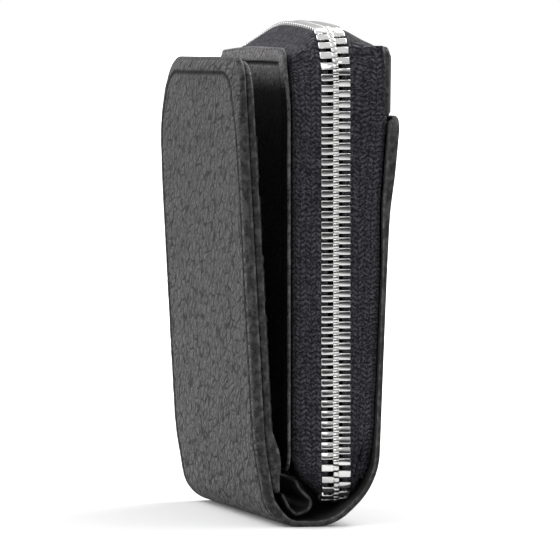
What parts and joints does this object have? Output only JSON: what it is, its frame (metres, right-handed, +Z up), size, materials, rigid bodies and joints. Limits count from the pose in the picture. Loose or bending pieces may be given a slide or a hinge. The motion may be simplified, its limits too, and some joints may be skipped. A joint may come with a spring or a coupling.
{
  "type": "leather wallet with zip coin pouch",
  "caption": "Small leather wallet: a card flap folded round a zip-around coin pouch, with a slip pocket at the back.",
  "frame": {"origin": "middle of the underside of the bounding box; the wallet stands on its folded spine", "axes": "+Z up, from the spine to the zip's top; +X from the flap to the rear slip pocket; +Y along the spine, to the side where the zip slider is parked"},
  "size_m": [0.034, 0.0926, 0.1014],
  "materials": {
    "cover_leather": "satin",
    "inner_leather": "satin",
    "lining": "matte",
    "zip_tape": "matte",
    "flap_board": "matte",
    "zip_metal": "polished"
  },
  "bodies": {
    "spine": {"spine_cover": "cover_leather", "fold_gusset": "inner_leather", "pouch_front_panel": "cover_leather", "pouch_front_lining": "lining", "pouch_floor_front": "lining", "zip_tape_front": "zip_tape", "zip_teeth_front": "zip_metal", "zip_bottom_stop": "zip_metal", "zip_top_stop_front": "zip_metal"},
    "flap": {"front_cover": "cover_leather", "flap_board": "flap_board", "card_panel": "inner_leather", "card_pocket_1": "inner_leather", "card_pocket_2": "inner_leather", "card_pocket_3": "inner_leather", "card_pocket_4": "inner_leather"},
    "pouch_back": {"back_cover": "cover_leather", "pouch_back_panel": "cover_leather", "pouch_back_lining": "lining", "pouch_floor_back": "lining", "zip_tape_back": "zip_tape", "zip_teeth_back": "zip_metal", "zip_top_stop_back": "zip_metal"},
    "slider": {"zip_slider": "zip_metal", "zip_slider_inner_plate": "zip_metal"},
    "pull": {"pull_link": "zip_metal", "pull_tab": "zip_metal"}
  },
  "joints": [
    {"name": "flap_fold", "type": "hinge", "parent": "spine", "child": "flap", "pos_m": [-0.01103, -0.0019, 0.00628], "axis": [0, -1, 0], "range_deg": [-1.5, 176]},
    {"name": "pouch_opening", "type": "hinge", "parent": "spine", "child": "pouch_back", "pos_m": [0.00463, -0.0019, 0.00103], "axis": [0, 1, 0], "range_deg": [0, 45]},
    {"name": "slider_travel", "type": "slide", "parent": "spine", "child": "slider", "axis": [0, 0, 1], "range_m": [0, 0.056]},
    {"name": "pull_swing", "type": "hinge", "parent": "slider", "child": "pull", "pos_m": [0.00365, 0.0445, 0.024], "axis": [1, 0, 0], "range_deg": [0, 170]}
  ]
}
